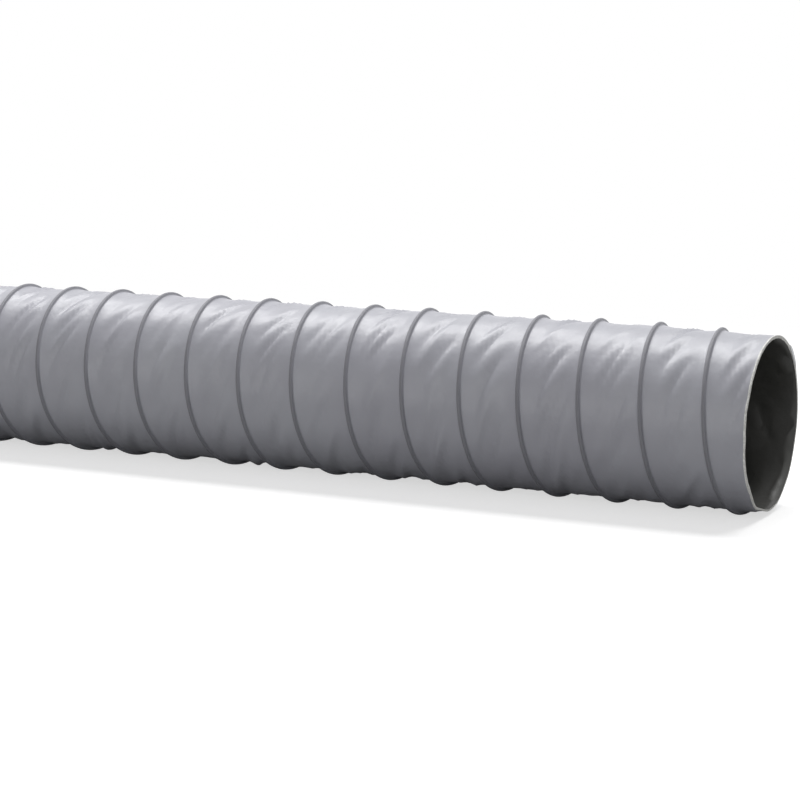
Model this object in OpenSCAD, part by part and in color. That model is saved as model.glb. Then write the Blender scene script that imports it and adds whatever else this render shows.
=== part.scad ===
// Spiral exhaust hose: a coated-fabric duct with a spring-steel wire wound in its wall.
// The hose lies along X with its photographed end at +X, and its underside touches z = 0.
// The wire makes a right-handed single-start helix, and the fabric is tented over it.

/* [Fabric wall] */
// Clear diameter inside the hose
bore_d = 100; // [80:5:150]
// Length of the cut piece of hose
hose_len = 1000; // [300:50:1000]
// Thickness of the two bonded plies of coated fabric
wall_t = 1; // [0.9:0.1:1.4]
// Round stretch at each end that slips over a duct stub
stub_len = 50; // [20:5:100]

/* [Wire helix] */
// Distance along the hose from one turn to the next
pitch = 37; // [32:1:60]
// Diameter of the spring wire
wire_d = 2; // [1.6:0.1:2.4]
// Distance from the photographed end to the nearest ridge, on the side that faces the viewer
first_ridge = 22.7; // [5:0.1:30]

/* [Ridge over the wire] */
// Width of the rounded crest
crest_w = 2; // [1.6:0.1:3]
// Width of the ridge where its flanks meet the slack fabric
foot_w = 10; // [9.6:0.1:14]
// Height of the flanks' feet over the fabric midway between turns
foot_rise = 0.8; // [0.6:0.1:1.2]

/* [Facets] */
// Flat steps in one turn of the helix
steps = 20; // [16:4:24]

/* [Hidden] */

fabric_grey = [0.62, 0.62, 0.65];
steel_grey = [0.55, 0.56, 0.58];

// Radii from the hose axis, each measured to the flats of the facets
bore_r = bore_d / 2;
duct_r = bore_r + 0.1;
waist_r = bore_r + wall_t;
foot_r = waist_r + foot_rise;
ply_r = bore_r + wall_t / 2;
wire_r = ply_r + wire_d / 2;
pocket_r = ply_r + 1.15 * wire_d;
cover_t = 0.7;
crest_r = pocket_r + cover_t;

// A corner of a regular polygon lies farther out than its flats by this factor
corner = 1 / cos(180 / steps);

// Half the width of the tented space under the outer ply
pocket_half_w = 2.25 * wire_d;

// A hexagon's corner lies this far from its middle
wire_corner = wire_d / 2 / cos(30);

// Stations count along the helix, and the one before number 0 and number 0 itself lie either
// side of the nearest ridge's crossing of the side that faces the viewer.
// Angles turn round X from that side, -Y, by way of the ground.
near_end = hose_len / 2;
function station_angle(i) = 360 * (i + 0.5) / steps;
function station_x(i) = near_end - first_ridge + pitch * (i + 0.5) / steps;
function station_at(x) = (x - near_end + first_ridge) / pitch * steps;

// The skin starts and stops at a step of one turn, which lies wholly outside the cuts
skin_first = floor(station_at(-near_end - 1.1 * pitch));
skin_last = ceil(station_at(near_end + 0.6 * pitch));
bar_first = floor(station_at(-near_end - 0.2 * pitch));
bar_last = ceil(station_at(near_end + 0.2 * pitch));

// A point beside the ridge line on station i: distance along the hose and radius
function on_station(i, at) = [
    station_x(i) + at[0],
    -at[1] * corner * cos(station_angle(i)),
    -at[1] * corner * sin(station_angle(i))
];

// Outside of the wall over one pitch
ridge_profile = [
    [-foot_w / 2, foot_r],
    [-crest_w / 2, crest_r],
    [crest_w / 2, crest_r],
    [foot_w / 2, foot_r],
    [pitch / 2, waist_r]
];

// Tented space between the plies, which the wire lies in
pocket_profile = [
    [-pocket_half_w, ply_r],
    [0, pocket_r],
    [pocket_half_w, ply_r]
];

// Six-sided wire that lies on one of its flats
wire_profile = [
    for (a = [240:-60:-60]) [wire_corner * cos(a), wire_r + wire_corner * sin(a)]
];

// A closed profile swept along the helix
module helix_bar(profile) {
    n = len(profile);
    rings = bar_last - bar_first + 1;
    points = [for (i = [bar_first:bar_last]) for (at = profile) on_station(i, at)];
    sides = [
        for (i = [0:rings - 2]) for (k = [0:n - 1])
            let (a = i * n + k, b = i * n + (k + 1) % n)
                for (face = [[a, b, b + n], [a, b + n, a + n]]) face
    ];
    ends = [
        [for (k = [n - 1:-1:0]) k],
        [for (k = [0:n - 1]) (rings - 1) * n + k]
    ];
    polyhedron(points, concat(sides, ends));
}

// The air way: truly round over a stub at both ends, and with the wall's flats between them
module air_way() {
    for (side = [-1, 1])
        translate([side * near_end, 0, 0])
        rotate([0, 90, 0])
        cylinder(r = bore_r, h = 2 * stub_len, center = true, $fn = 180);
    rotate([0, 90, 0])
    linear_extrude(hose_len - 2 * stub_len, center = true)
    polygon([
        for (i = [1:steps]) duct_r * corner * [cos(station_angle(i)), sin(station_angle(i))]
    ]);
}

// A solid bar whose skin is the ridge profile wound round, each turn joined to the next
module ridged_bar() {
    n = len(ridge_profile);
    count = skin_last - skin_first;
    last_turn = count - steps;
    wound = [for (i = [skin_first:skin_last]) for (at = ridge_profile) on_station(i, at)];
    far_tip = len(wound);
    near_tip = far_tip + 1;
    points = concat(wound, [
        [station_x(skin_first) - pitch, 0, 0],
        [station_x(skin_last) + pitch, 0, 0]
    ]);
    // What follows a profile's last point is the first one a turn later
    function corner_of(i, k) = k < n ? i * n + k : (i + steps) * n;
    skin = [
        for (i = [0:count - 1]) for (k = [0:n - 1])
            if (k < n - 1 || i < last_turn)
                for (face = [
                    [corner_of(i, k), corner_of(i, k + 1), corner_of(i + 1, k + 1)],
                    [corner_of(i, k), corner_of(i + 1, k + 1), corner_of(i + 1, k)]
                ]) face
    ];
    // Each end is a cone to a tip on the axis, with the step of one turn in it
    far_rim = concat(
        [for (k = [n:-1:0]) corner_of(0, k)],
        [for (i = [1:steps]) corner_of(i, 0)]
    );
    near_rim = concat(
        [for (i = [count:-1:last_turn]) corner_of(i, n - 1)],
        [for (k = [0:n - 1]) corner_of(count, k)]
    );
    far_cone = [for (k = [0:len(far_rim) - 2]) [far_rim[k], far_rim[k + 1], far_tip]];
    near_cone = [for (k = [0:len(near_rim) - 2]) [near_rim[k], near_rim[k + 1], near_tip]];
    polyhedron(points, concat(skin, far_cone, near_cone));
}

// Everything between the two square cuts
module between_cuts() {
    cube([hose_len, 4 * crest_r, 4 * crest_r], center = true);
}

module fabric_wall() {
    color(fabric_grey)
    translate([0, 0, crest_r])
    difference() {
        intersection() {
            ridged_bar();
            between_cuts();
        }
        air_way();
        helix_bar(pocket_profile);
    }
}

module wire_helix() {
    color(steel_grey)
    translate([0, 0, crest_r])
    intersection() {
        helix_bar(wire_profile);
        between_cuts();
    }
}

fabric_wall();
wire_helix();
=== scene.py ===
from math import cos, pi, radians, sin, sqrt

import bmesh
import bpy
import numpy as np
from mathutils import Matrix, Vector


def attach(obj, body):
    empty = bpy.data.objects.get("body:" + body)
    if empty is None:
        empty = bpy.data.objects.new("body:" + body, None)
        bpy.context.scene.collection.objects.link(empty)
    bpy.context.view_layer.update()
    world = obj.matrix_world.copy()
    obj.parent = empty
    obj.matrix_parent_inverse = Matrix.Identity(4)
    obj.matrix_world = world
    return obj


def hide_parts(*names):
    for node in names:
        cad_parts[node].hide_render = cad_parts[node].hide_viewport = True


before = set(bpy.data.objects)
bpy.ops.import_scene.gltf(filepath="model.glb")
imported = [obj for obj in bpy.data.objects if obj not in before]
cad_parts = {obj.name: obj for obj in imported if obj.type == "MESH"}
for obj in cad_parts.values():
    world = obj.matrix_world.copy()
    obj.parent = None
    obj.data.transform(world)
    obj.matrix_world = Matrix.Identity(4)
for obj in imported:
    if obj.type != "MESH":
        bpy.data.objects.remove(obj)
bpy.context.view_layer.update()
print("frame loaded")

# ---- camera

camera = {
    "place": (0.8513, -1.1804, 0.2685),
    "azimuth": 26.41,       # degrees from looking along +Y
    "elevation": 9.44,      # degrees looking down
    "lens": 98.1,
}


def addCamera():
    az = radians(camera["azimuth"])
    el = radians(camera["elevation"])
    look = Vector((-sin(az) * cos(el), cos(az) * cos(el), -sin(el)))
    data = bpy.data.cameras.new("photoCamera")
    data.lens = camera["lens"]
    data.sensor_width = 36
    data.clip_end = 50
    eye = bpy.data.objects.new("photoCamera", data)
    eye.location = camera["place"]
    eye.rotation_euler = look.to_track_quat("-Z", "Y").to_euler()
    bpy.context.collection.objects.link(eye)
    bpy.context.scene.camera = eye


addCamera()
bpy.context.scene.view_settings.view_transform = "Standard"
print("camera placed")

# ---- what the materials share


def linear(hexColour):
    # sRGB hex to the linear values that the shaders take
    out = []
    for k in (1, 3, 5):
        c = int(hexColour[k:k + 2], 16) / 255
        out.append(c / 12.92 if c <= 0.04045 else ((c + 0.055) / 1.055) ** 2.4)
    return (*out, 1)


def addNode(tree, kind, links=None, inputs=None, **settings):
    # one node with its settings, fixed inputs and what feeds it
    made = tree.nodes.new(kind)
    for name, value in settings.items():
        setattr(made, name, value)
    for key, value in (inputs or {}).items():
        made.inputs[key].default_value = value
    for key, source in (links or {}).items():
        tree.links.new(source, made.inputs[key])
    return made


def newMaterial(name):
    made = bpy.data.materials.new(name)
    made.use_nodes = True
    made.node_tree.nodes.clear()
    return made, made.node_tree


def setRamp(ramp, stops):
    while len(ramp.color_ramp.elements) < len(stops):
        ramp.color_ramp.elements.new(0.5)
    for element, (position, colour) in zip(ramp.color_ramp.elements, stops):
        element.position = position
        element.color = colour


# ---- the hose in millimetres, from the same values as the solid

hose = {
    "axis": 53.5,           # height of the axis, so that the ridges touch the floor
    "half": 500.0,
    "pitch": 37.0,
    "firstRidge": 22.7,
    "crest": 53.5,          # radius over the ridge
    "bead": 1.2,            # half width of the tent over the wire
    "foot": 51.5,           # radius of the fabric right beside a ridge
    "slackTop": 50.4,       # radius between ridges on top
    "slackUnder": 50.4,     # and under the hose, where it is pulled in
    "wall": 1.0,
    "rawEdge": 1.0,         # where the coating has come off along the cut
    "settle": 1.4,          # how far the top of the cut end has sunk, where the wire's ring is open
}
folds = {
    "perTurn": 16,          # diagonal folds in one turn
    "turns": 14,            # bands before the pattern comes again
    "columns": 25,
    "slack": 0.055,         # spare cloth across the band
    "skew": 0.12,           # twist between one turn of wire and the next
    "stiff": 0.04,
    "margin": 3.2,          # held flat beside the wire
    "steps": 500,
    "swell": 0.25,          # what is kept of the round waves between creases
    "crease": 1.45,         # millimetres, depth of a usual crease
    "reach": 11.0,          # half its length across the band
    "lean": 2.0,            # how far it runs round the hose for each step along it
    "gather": 0.62,         # how far grid points are drawn to it
    "seed": 5,
}
skin = {"stations": 130, "lining": 0.13}


def smoothNoise(rng, count, spacing, reach):
    # wandering value along the ribbon, closed on itself
    rough = rng.normal(size=count)
    waves = np.fft.rfftfreq(count, spacing)
    soft = np.fft.irfft(np.fft.rfft(rough) * np.exp(-2 * (waves * reach) ** 2), count)
    return soft / soft.std()


def relaxRibbon(perTurn):
    # The fabric between two turns of wire is a long ribbon with spare cloth in it, which the twist
    # of the hose buckles into diagonal folds. Its threads are pulled back to length step by step.
    rng = np.random.default_rng(folds["seed"])
    count = folds["turns"] * perTurn
    columns = folds["columns"]
    width = hose["pitch"]
    du = width / (columns - 1)
    ds = 2 * pi * 51.4 / perTurn
    u = np.linspace(0, width, columns)
    edge = np.minimum(u, width - u)
    angle = np.arange(count) / perTurn * 2 * pi

    place = np.zeros((count, columns, 3))
    place[..., 0] = u
    place[..., 1] = (np.arange(count) * ds)[:, None]
    lean = angle * folds["perTurn"] + 1.5 * smoothNoise(rng, count, ds, 50)
    envelope = np.clip((edge - folds["margin"]) / 8, 0, 1)
    start = np.cos(lean[:, None] + 0.5 * (u - width / 2)) * envelope
    place[..., 2] = 0.15 * start * (1 + 0.4 * smoothNoise(rng, count, ds, 30))[:, None]
    place[..., 2] += 0.08 * smoothNoise(rng, count, ds, 12)[:, None] * envelope

    uneven = smoothNoise(rng, count, ds, 45)
    across = (folds["slack"] * (1 + 0.6 * uneven))[:, None] * du
    along = (folds["skew"] * (1 + 0.5 * np.roll(uneven, count // 3)))[:, None] * du
    flat = np.ones((1, columns - 1))
    crossRest = np.hypot(du + across, along) * flat
    downRest = np.hypot(du + across, along + ds) * flat
    upRest = np.hypot(du + across, along - ds) * flat
    free = np.where(edge < folds["margin"], 0.0, 1.0)[None, :, None]

    def pull(a, b, rest):
        gap = b - a
        size = np.sqrt((gap * gap).sum(-1))
        return ((size - rest) / size * 0.5)[..., None] * gap

    before = place.copy()
    steps = folds["steps"]
    for step in range(steps):
        drift = place - before
        before = place.copy()
        place = place + 0.9 * drift * free
        height = np.pad(place[..., 2], ((0, 0), (1, 1)), "edge")
        bend = (height[:, :-2] - 2 * height[:, 1:-1] + height[:, 2:]) / du ** 2
        h = place[..., 2]
        bend += (np.roll(h, 1, 0) - 2 * h + np.roll(h, -1, 0)) / ds ** 2
        wide = np.pad(bend, ((0, 0), (1, 1)), "edge")
        stiffness = (wide[:, :-2] - 2 * bend + wide[:, 2:]) / du ** 2
        stiffness += (np.roll(bend, 1, 0) - 2 * bend + np.roll(bend, -1, 0)) / ds ** 2
        after = np.roll(place, -1, 0)
        after[-1, :, 1] += count * ds
        move = np.zeros_like(place)
        part = pull(place[:, :-1], place[:, 1:], crossRest)
        move[:, :-1] += part
        move[:, 1:] -= part
        part = pull(place, after, ds)
        move += part
        move -= np.roll(part, 1, 0)
        part = pull(place[:, :-1], after[:, 1:], downRest)
        move[:, :-1] += part
        move[:, 1:] -= np.roll(part, 1, 0)
        part = pull(place[:, 1:], after[:, :-1], upRest)
        move[:, 1:] += part
        move[:, :-1] -= np.roll(part, 1, 0)
        move *= 0.22
        move[..., 2] -= np.clip(folds["stiff"] * stiffness, -0.3, 0.3)
        place += move * free
    return place[..., 2], u, du, ds


def planCreases():
    # Coated cloth also breaks into narrow creases, which lie in rows along the hose.
    # On top they sag into grooves, and lower down they stand out as crests.
    rng = np.random.default_rng(folds["seed"] + 1)
    number = folds["turns"] * folds["perTurn"]
    spacing = 2 * pi * 51.4 / folds["perTurn"]
    wander = smoothNoise(rng, number, spacing, 160)
    planned = []
    for k in range(number):
        height = -sin(2 * pi * (k + 0.5) / folds["perTurn"])
        planned.append({
            "s": (k + 0.5 + 0.25 * wander[k] + 0.14 * rng.normal()) * spacing,
            "u": hose["pitch"] / 2 + 1.3 * rng.normal(),
            "reach": folds["reach"] * rng.uniform(0.75, 1.1),
            "lean": folds["lean"] * rng.uniform(0.8, 1.25),
            "hook": rng.uniform(3, 9),
            "depth": folds["crease"] * rng.uniform(0.35, 1.1),
            "width": rng.uniform(1.1, 1.6),
            "groove": rng.random() < 0.5 + 0.35 * height,
        })
    return planned


def besideCrease(crease, u, s):
    # how far along the crease a point is, from -1 to 1, and how far off it, in millimetres
    t = (u - crease["u"]) / crease["reach"]
    bent = np.maximum(0, -t - 0.2) ** 2 + 0.4 * np.maximum(0, t - 0.3) ** 2
    line = crease["s"] - crease["lean"] * (u - crease["u"]) + crease["hook"] * bent
    off = (s - line) / sqrt(1 + crease["lean"] ** 2)
    return np.clip(1 - t * t, 0, 1) ** 0.9, off


def creaseGrid(planned, u, count, ds):
    # Grid points are drawn towards each crease first, then it is pressed in or pushed out
    s = np.arange(count) * ds
    total = count * ds
    moveU = np.zeros((count, len(u)))
    moveS = np.zeros((count, len(u)))
    span = int(48 / ds)
    windows = []
    for crease in planned:
        rows = np.arange(-span, span + 1) + int(crease["s"] / ds)
        windows.append((crease, rows % count, (rows * ds)[:, None]))
    for crease, rows, at in windows:
        taper, off = besideCrease(crease, u[None, :], at)
        pull = -folds["gather"] * taper * off * np.exp(-(off / 3.6) ** 2)
        size = sqrt(1 + crease["lean"] ** 2)
        moveU[rows] += pull * crease["lean"] / size
        moveS[rows] += pull / size
    edge = np.clip((np.minimum(u, hose["pitch"] - u) - folds["margin"]) / 3, 0, 1)[None, :]
    moveU *= edge
    moveS *= edge
    press = np.zeros((count, len(u)))
    line = np.zeros((count, len(u)))
    for crease, rows, at in windows:
        taper, off = besideCrease(crease, u[None, :] + moveU[rows], at + moveS[rows])
        width = crease["width"]
        if crease["groove"]:
            shape = -np.exp(-(off / width) ** 2) + 0.5 * np.exp(-((off - 3.2) / 2.2) ** 2)
            shape += 0.3 * np.exp(-((off + 3.8) / 2.8) ** 2)
        else:
            steep = np.where(off > 0, width, 4.2)
            shape = np.exp(-(off / steep) ** 2) - 0.5 * np.exp(-((off - 3.3) / 2.2) ** 2)
        press[rows] += crease["depth"] * taper * shape
        line[rows] += taper * np.exp(-(off / width) ** 2) * (-1 if crease["groove"] else 1)
    return moveU, moveS, press, line


def sampleColumns(field, u, wanted):
    # smooth in-between values at other distances across the band
    at = np.clip(wanted / (u[1] - u[0]), 0, len(u) - 1.001)
    k = at.astype(int)
    f = at - k
    last = len(u) - 1
    a, b = field[:, np.maximum(k - 1, 0)], field[:, k]
    c, d = field[:, k + 1], field[:, np.minimum(k + 2, last)]
    return b + 0.5 * f * (c - a + f * (2 * a - 5 * b + 4 * c - d + f * (3 * (b - c) + d - a)))


def settled(x, angle):
    # the last two rings give a little at the top
    near = np.clip((x - 425) / 60, 0, 1)
    return hose["settle"] * near * near * (3 - 2 * near) * np.clip(-np.sin(angle), 0, 1) ** 1.5


def ridgeRadius(u, angle):
    # the fabric's own radius without folds, and the tent over the wire
    away = np.minimum(u, hose["pitch"] - u)
    top, under = hose["slackTop"], hose["slackUnder"]
    slack = (top + under) / 2 - (top - under) / 2 * np.sin(angle)
    cloth = slack + (hose["foot"] - slack) * np.exp(-np.maximum(away - 2, 0) / 5)
    half = hose["bead"]
    tent = hose["crest"] - half + np.sqrt(np.maximum(half ** 2 - away ** 2, 0))
    tent = np.where(away < half, tent, hose["crest"] - half - 4 * (away - half))
    soft = 0.25                                 # fillet where the tent meets the cloth
    mix = np.clip(0.5 + (tent - cloth) / (2 * soft), 0, 1)
    return cloth + (tent - cloth) * mix + soft * mix * (1 - mix)


def windTube(name, perTurn, columns, surface, slot):
    # A flat grid is wound into a helical band whose far edge meets its own near edge a turn later
    first = -int(29.4 * perTurn)
    last = int(1.7 * perTurn)
    rows = last - first
    bm = bmesh.new()
    bmesh.ops.create_grid(bm, x_segments=len(columns) - 1, y_segments=rows, size=1)
    mesh = bpy.data.meshes.new(name)
    bm.to_mesh(mesh)
    bm.free()
    co = np.empty(len(mesh.vertices) * 3)
    mesh.vertices.foreach_get("co", co)
    co = co.reshape(-1, 3)
    j = np.rint((co[:, 0] + 1) / 2 * (len(columns) - 1)).astype(int)
    i = np.rint((co[:, 1] + 1) / 2 * rows).astype(int) + first
    u, s, radius, fold = surface(i, j)
    # mask along the wire's ridge, which the material uses for painted shade on the ridge line and for a
    # rougher finish there
    ridge = np.clip(1.4 - np.minimum(u, hose["pitch"] - u) / 1.2, 0, 1)
    turn = s / perTurn
    x = hose["half"] - hose["firstRidge"] + hose["pitch"] * turn + u
    angle = 2 * pi * turn
    radius = radius - settled(x, angle)
    place = np.stack([x, -radius * np.cos(angle), hose["axis"] - radius * np.sin(angle)], 1) / 1000
    mesh.vertices.foreach_set("co", place.ravel())
    corner = np.empty(len(mesh.loops), dtype=np.int32)
    mesh.loops.foreach_get("vertex_index", corner)
    threads = np.stack([(hose["pitch"] * turn + u) / 1000, angle * 51.4 / 1000], 1)
    mesh.uv_layers.new(name="threads").data.foreach_set("uv", threads[corner].ravel())
    mesh.attributes.new("fold", "FLOAT", "POINT").data.foreach_set("value", fold)
    mesh.attributes.new("ridge", "FLOAT", "POINT").data.foreach_set("value", ridge)
    mesh.polygons.foreach_set("material_index", np.full(len(mesh.polygons), slot, dtype=np.int32))
    mesh.update()
    bm = bmesh.new()
    bm.from_mesh(mesh)
    bpy.data.meshes.remove(mesh)
    bmesh.ops.remove_doubles(bm, verts=bm.verts, dist=0.00002)
    for side in (-1, 1):
        for inset in (0, hose["rawEdge"]):
            everything = bm.verts[:] + bm.edges[:] + bm.faces[:]
            bmesh.ops.bisect_plane(
                bm, geom=everything, dist=0.000001, clear_outer=inset == 0,
                plane_co=(side * (hose["half"] - inset) / 1000, 0, 0), plane_no=(side, 0, 0))
    if slot == 0:
        for face in bm.faces:
            if abs(face.calc_center_median().x) > (hose["half"] - hose["rawEdge"]) / 1000:
                face.material_index = 2
    bmesh.ops.recalc_face_normals(bm, faces=bm.faces)
    return bm


height, acrossBand, du, ds = relaxRibbon(skin["stations"])
print("folds relaxed, from", round(height.min(), 2), "to", round(height.max(), 2), "mm")

nearRidge = [0, 0.5, 0.95, 1.3, 1.7, 2.5]
betweenRidges = list(np.linspace(4.4, 32.6, 14))
skinColumns = np.array(nearRidge + betweenRidges + [37 - d for d in reversed(nearRidge)])
swellAt = folds["swell"] * sampleColumns(height, acrossBand, skinColumns)
moveU, moveS, pressed, creaseLine = creaseGrid(planCreases(), skinColumns, len(height), ds)


def skinSurface(i, j):
    row = i % len(height)
    u = skinColumns[j] + moveU[row, j]
    s = i + moveS[row, j] / ds
    h = np.clip(swellAt[row, j] + pressed[row, j], -1.6, 2.2)
    return u, s, ridgeRadius(u, 2 * pi * s / skin["stations"]) + h, creaseLine[row, j]


def liningSurface(i, j):
    # the inner face follows the outer one and bridges the wire
    u, s, radius, bend = skinSurface(i, j)
    away = np.minimum(u, hose["pitch"] - u)
    flat = ridgeRadius(np.full(len(i), 18.5), 2 * pi * s / skin["stations"])
    fold = radius - ridgeRadius(u, 2 * pi * s / skin["stations"])
    return u, s, flat + fold - hose["wall"] + 0.3 * np.exp(-(away / 2.5) ** 2), bend * 0


def addWall():
    bm = windTube("hoseWall", skin["stations"], skinColumns, skinSurface, 0)
    inside = windTube("lining", skin["stations"], skinColumns, liningSurface, 1)
    bmesh.ops.reverse_faces(inside, faces=inside.faces)
    full = bpy.data.meshes.new("lining")
    inside.to_mesh(full)
    inside.free()
    holder = bpy.data.objects.new("lining", full)
    bpy.context.collection.objects.link(holder)
    thin = holder.modifiers.new("thin", "DECIMATE")
    thin.ratio = skin["lining"]
    lining = bpy.data.meshes.new_from_object(holder.evaluated_get(bpy.context.evaluated_depsgraph_get()))
    bpy.data.objects.remove(holder)
    bpy.data.meshes.remove(full)
    bm.from_mesh(lining)
    bpy.data.meshes.remove(lining)
    for edge in bm.edges:
        if edge.is_boundary:
            for vert in edge.verts:
                vert.co.x = hose["half"] / 1000 * (1 if vert.co.x > 0 else -1)
    for side in (-1, 1):
        rim = [e for e in bm.edges if e.is_boundary and e.verts[0].co.x * side > 0]
        made = bmesh.ops.triangle_fill(bm, edges=rim, use_beauty=True, normal=(side, 0, 0))
        for face in made["geom"]:
            if not isinstance(face, bmesh.types.BMFace):
                continue
            face.material_index = 2
            face.normal_update()
            if face.normal.x * side < 0:
                face.normal_flip()
    for face in bm.faces:
        face.smooth = abs(face.normal.x) < 0.9
    mesh = bpy.data.meshes.new("hoseWall")
    bm.to_mesh(mesh)
    print("wall", len(mesh.vertices), "vertices", len(bm.faces), "faces,",
          sum(len(f.verts) - 2 for f in bm.faces), "triangles, open edges",
          sum(1 for e in bm.edges if not e.is_manifold), "volume", round(bm.calc_volume() * 1e6, 1))
    bm.free()
    made = bpy.data.objects.new("hoseWall", mesh)
    bpy.context.collection.objects.link(made)
    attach(made, "root")
    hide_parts("fabric_wall")
    return made


wall = addWall()

# ---- spring wire

wire = {
    "radius": 1.0,
    "centre": 51.5,
    "perTurn": 64,
    "end": 500.3,           # the cut wire stands a little proud of the fabric
}


def addWire():
    data = bpy.data.curves.new("springWire", "CURVE")
    data.dimensions = "3D"
    data.bevel_depth = wire["radius"] / 1000
    data.bevel_resolution = 3
    first = -int(27.6 * wire["perTurn"])
    last = int(0.8 * wire["perTurn"])
    line = data.splines.new("POLY")
    line.points.add(last - first)
    for k in range(first, last + 1):
        angle = 2 * pi * k / wire["perTurn"]
        x = hose["half"] - hose["firstRidge"] + hose["pitch"] * k / wire["perTurn"]
        reach = wire["centre"] - float(settled(x, angle))
        y = -reach * cos(angle)
        z = hose["axis"] - reach * sin(angle)
        line.points[k - first].co = (x / 1000, y / 1000, z / 1000, 1)
    holder = bpy.data.objects.new("holder", data)
    bpy.context.collection.objects.link(holder)
    mesh = bpy.data.meshes.new_from_object(holder)
    bpy.data.objects.remove(holder)
    bm = bmesh.new()
    bm.from_mesh(mesh)
    bmesh.ops.remove_doubles(bm, verts=bm.verts, dist=0.000001)
    for side in (-1, 1):
        everything = bm.verts[:] + bm.edges[:] + bm.faces[:]
        bmesh.ops.bisect_plane(
            bm, geom=everything, dist=0.000001, clear_outer=True,
            plane_co=(side * wire["end"] / 1000, 0, 0), plane_no=(side, 0, 0))
    bmesh.ops.holes_fill(bm, edges=[e for e in bm.edges if e.is_boundary], sides=0)
    bmesh.ops.recalc_face_normals(bm, faces=bm.faces)
    for face in bm.faces:
        face.smooth = len(face.verts) == 4
    bm.to_mesh(mesh)
    print("wire", len(bm.faces), "faces, open edges", sum(1 for e in bm.edges if not e.is_manifold),
          "volume", round(bm.calc_volume() * 1e6, 1))
    bm.free()
    mesh.name = "springWire"
    made = bpy.data.objects.new("springWire", mesh)
    bpy.context.collection.objects.link(made)
    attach(made, "root")
    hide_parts("wire_helix")
    return made


spring = addWire()
print("wire wound")

# ---- materials


def coatedFabric(name, light, dark, ridgeShadeColour, roughness, weave):
    # PVC-coated polyester, calendered: a satin skin over threads that barely show through
    made, tree = newMaterial(name)
    uv = addNode(tree, "ShaderNodeUVMap", uv_map="threads")
    place = addNode(tree, "ShaderNodeTexCoord")
    cloud = addNode(
        tree, "ShaderNodeTexNoise", {"Vector": place.outputs["Object"]},
        {"Scale": 14, "Detail": 4, "Roughness": 0.55})
    tint = addNode(tree, "ShaderNodeValToRGB", {"Fac": cloud.outputs["Fac"]})
    setRamp(tint, [(0.35, linear(dark)), (0.65, linear(light))])
    # painted shade: along the wire's ridge the colour is mixed towards a darker grey, standing in for the
    # shade on the ridge's flanks; the same mask also makes the ridge rougher
    ridge = addNode(tree, "ShaderNodeAttribute", attribute_name="ridge")
    paintedRidgeShade = addNode(
        tree, "ShaderNodeMix", {"Factor": ridge.outputs["Fac"], "A": tint.outputs["Color"]}, data_type="RGBA")
    paintedRidgeShade.inputs["B"].default_value = linear(ridgeShadeColour)
    warp = addNode(
        tree, "ShaderNodeTexWave", {"Vector": uv.outputs["UV"]},
        {"Scale": 2 * pi / 20 / (weave / 1000) / (2 * pi), "Distortion": 0.6, "Detail": 1, "Detail Scale": 3},
        wave_type="BANDS", bands_direction="X")
    weft = addNode(
        tree, "ShaderNodeTexWave", {"Vector": uv.outputs["UV"]},
        {"Scale": 2 * pi / 20 / (weave / 1000) / (2 * pi), "Distortion": 0.6, "Detail": 1, "Detail Scale": 3},
        wave_type="BANDS", bands_direction="Y")
    threads = addNode(
        tree, "ShaderNodeMath", {0: warp.outputs["Fac"], 1: weft.outputs["Fac"]}, operation="MULTIPLY")
    crinkle = addNode(
        tree, "ShaderNodeTexNoise", {"Vector": place.outputs["Object"]},
        {"Scale": 160, "Detail": 3, "Roughness": 0.5})
    weaveBump = addNode(
        tree, "ShaderNodeBump", {"Height": threads.outputs["Value"]}, {"Strength": 0.12, "Distance": 0.0002})
    crinkleBump = addNode(
        tree, "ShaderNodeBump", {"Height": crinkle.outputs["Fac"], "Normal": weaveBump.outputs["Normal"]},
        {"Strength": 0.25, "Distance": 0.0006})
    gloss = addNode(
        tree, "ShaderNodeMapRange", {"Value": crinkle.outputs["Fac"]},
        {"From Min": 0.3, "From Max": 0.7, "To Min": roughness - 0.05, "To Max": roughness + 0.06})
    matt = addNode(
        tree, "ShaderNodeMath", {0: ridge.outputs["Fac"], 2: gloss.outputs["Result"]},
        {1: 0.25}, operation="MULTIPLY_ADD")
    skinShader = addNode(
        tree, "ShaderNodeBsdfPrincipled",
        {"Base Color": paintedRidgeShade.outputs["Result"], "Roughness": matt.outputs["Value"],
         "Normal": crinkleBump.outputs["Normal"]},
        {"IOR": 1.52})
    addNode(tree, "ShaderNodeOutputMaterial", {"Surface": skinShader.outputs["BSDF"]})
    return made


def cutFabric():
    # raw edge of the two plies, pale threads with little coating on them
    made, tree = newMaterial("rawCutEdge")
    place = addNode(tree, "ShaderNodeTexCoord")
    fray = addNode(
        tree, "ShaderNodeTexNoise", {"Vector": place.outputs["Object"]},
        {"Scale": 900, "Detail": 2})
    tint = addNode(tree, "ShaderNodeValToRGB", {"Fac": fray.outputs["Fac"]})
    setRamp(tint, [(0.35, linear("#CFCFCB")), (0.65, linear("#ECECE8"))])
    shader = addNode(
        tree, "ShaderNodeBsdfPrincipled", {"Base Color": tint.outputs["Color"]}, {"Roughness": 0.8})
    addNode(tree, "ShaderNodeOutputMaterial", {"Surface": shader.outputs["BSDF"]})
    return made


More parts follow.
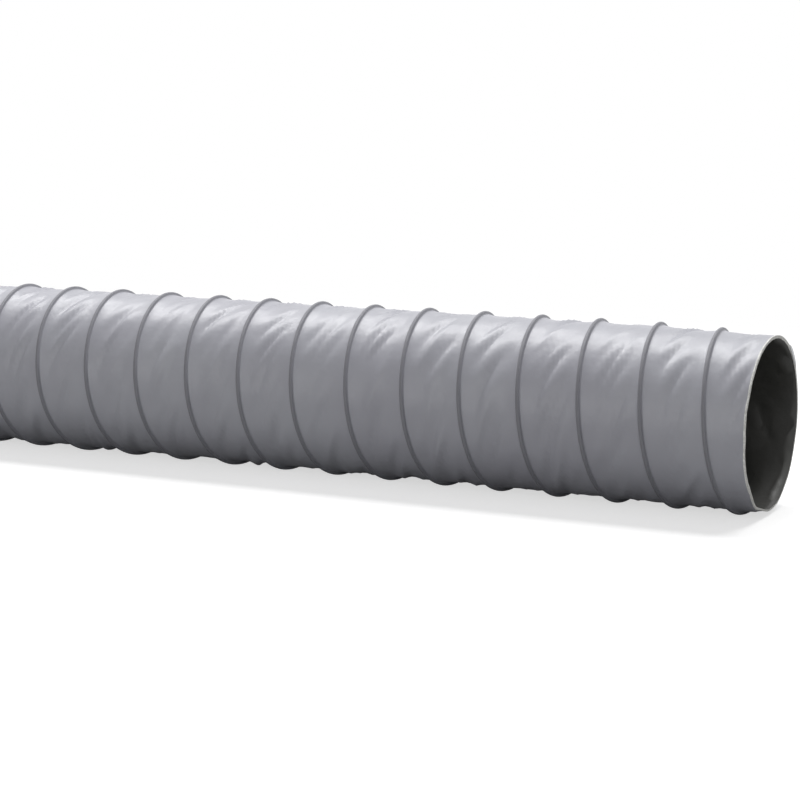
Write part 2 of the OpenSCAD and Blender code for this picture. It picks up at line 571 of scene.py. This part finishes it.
def drawnSteel():
    # spring wire, drawn through a die: bright, with fine scratches
    made, tree = newMaterial("drawnSpringSteel")
    place = addNode(tree, "ShaderNodeTexCoord")
    marks = addNode(
        tree, "ShaderNodeTexNoise", {"Vector": place.outputs["Object"]},
        {"Scale": 1200, "Detail": 2})
    gloss = addNode(
        tree, "ShaderNodeMapRange", {"Value": marks.outputs["Fac"]}, {"To Min": 0.28, "To Max": 0.45})
    tint = addNode(tree, "ShaderNodeValToRGB", {"Fac": marks.outputs["Fac"]})
    setRamp(tint, [(0.3, linear("#A9ABAE")), (0.7, linear("#C6C8CA"))])
    shader = addNode(
        tree, "ShaderNodeBsdfPrincipled",
        {"Roughness": gloss.outputs["Result"], "Base Color": tint.outputs["Color"]}, {"Metallic": 1.0})
    addNode(tree, "ShaderNodeOutputMaterial", {"Surface": shader.outputs["BSDF"]})
    return made


# the third colour is painted shade along the ridge line
wall.data.materials.append(coatedFabric("coatedPolyesterOuter", "#A2A3AA", "#9B9BA3", "#77777D", 0.38, 0.8))
wall.data.materials.append(coatedFabric("coatedPolyesterInner", "#4A4A48", "#42423F", "#4C4C4A", 0.5, 0.8))
wall.data.materials.append(cutFabric())
spring.data.materials.append(drawnSteel())
print("materials made")

# ---- floor, background and light

stage = {
    "floorColour": "#A9A9A9",
    "keyPlace": (-0.1, 0.62, 1.7),
    "keySize": (2.6, 0.9),
    "keyPower": 52,
    "fillPlace": (0.2, -1.9, 0.35),
    "fillSize": (2.6, 1.6),
    "fillPower": 16,
    "ambient": 0.17,
}


def seenIn(tree, *rays):
    # 1 for the kinds of ray that should find a white studio
    path = addNode(tree, "ShaderNodeLightPath")
    found = path.outputs[rays[0]]
    for ray in rays[1:]:
        found = addNode(
            tree, "ShaderNodeMath", {0: found, 1: path.outputs[ray]}, operation="MAXIMUM").outputs["Value"]
    return found


def addFloor():
    # pale matt floor that is white to the eye and keeps the hose's shadow
    bm = bmesh.new()
    bmesh.ops.create_grid(bm, x_segments=2, y_segments=2, size=12)
    mesh = bpy.data.meshes.new("floor")
    bm.to_mesh(mesh)
    bm.free()
    floor = bpy.data.objects.new("floor", mesh)
    bpy.context.collection.objects.link(floor)
    made, tree = newMaterial("paleStudioFloor")
    place = addNode(tree, "ShaderNodeTexCoord")
    squash = addNode(
        tree, "ShaderNodeMapping", {"Vector": place.outputs["Object"]}, {"Scale": (0.5, 1.0, 0)})
    far = addNode(tree, "ShaderNodeVectorMath", {0: squash.outputs["Vector"]}, operation="LENGTH")
    fade = addNode(
        tree, "ShaderNodeMapRange", {"Value": far.outputs["Value"]},
        {"From Min": 0.3, "From Max": 0.8, "To Min": 0, "To Max": 1})
    plain = addNode(tree, "ShaderNodeBsdfDiffuse", None, {"Color": linear(stage["floorColour"])})
    white = addNode(tree, "ShaderNodeBsdfDiffuse", None, {"Color": (0.6, 0.6, 0.6, 1)})
    lift = addNode(tree, "ShaderNodeEmission", None, {"Strength": 0.62})
    near = addNode(tree, "ShaderNodeAddShader", {0: white.outputs["BSDF"], 1: lift.outputs["Emission"]})
    glow = addNode(tree, "ShaderNodeEmission", None, {"Strength": 1.0})
    close = addNode(
        tree, "ShaderNodeMixShader",
        {0: seenIn(tree, "Is Camera Ray"), 1: plain.outputs["BSDF"], 2: near.outputs["Shader"]})
    away = addNode(
        tree, "ShaderNodeMixShader",
        {0: seenIn(tree, "Is Camera Ray", "Is Glossy Ray", "Is Transmission Ray"),
         1: plain.outputs["BSDF"], 2: glow.outputs["Emission"]})
    mix = addNode(
        tree, "ShaderNodeMixShader",
        {0: fade.outputs["Result"], 1: close.outputs["Shader"], 2: away.outputs["Shader"]})
    addNode(tree, "ShaderNodeOutputMaterial", {"Surface": mix.outputs["Shader"]})
    mesh.materials.append(made)


def addWorld():
    world = bpy.data.worlds.new("studio")
    world.use_nodes = True
    tree = world.node_tree
    tree.nodes.clear()
    dim = addNode(tree, "ShaderNodeBackground", None, {"Color": (1, 1, 1, 1), "Strength": stage["ambient"]})
    white = addNode(tree, "ShaderNodeBackground", None, {"Color": (1, 1, 1, 1), "Strength": 1})
    mix = addNode(
        tree, "ShaderNodeMixShader",
        {0: seenIn(tree, "Is Camera Ray", "Is Glossy Ray", "Is Transmission Ray"),
         1: dim.outputs["Background"], 2: white.outputs["Background"]})
    addNode(tree, "ShaderNodeOutputWorld", {"Surface": mix.outputs["Shader"]})
    bpy.context.scene.world = world


def addSoftbox(name, which, target):
    data = bpy.data.lights.new(name, "AREA")
    data.shape = "RECTANGLE"
    data.size, data.size_y = stage[which + "Size"]
    data.energy = stage[which + "Power"]
    lamp = bpy.data.objects.new(name, data)
    lamp.location = stage[which + "Place"]
    aim = Vector(target) - Vector(stage[which + "Place"])
    lamp.rotation_euler = aim.to_track_quat("-Z", "Y").to_euler()
    bpy.context.collection.objects.link(lamp)


addFloor()
addWorld()
addSoftbox("overheadSoftbox", "key", (-0.1, 0.28, 0))
addSoftbox("frontFill", "fill", (0.0, 0, 0.05))
print("stage lit")
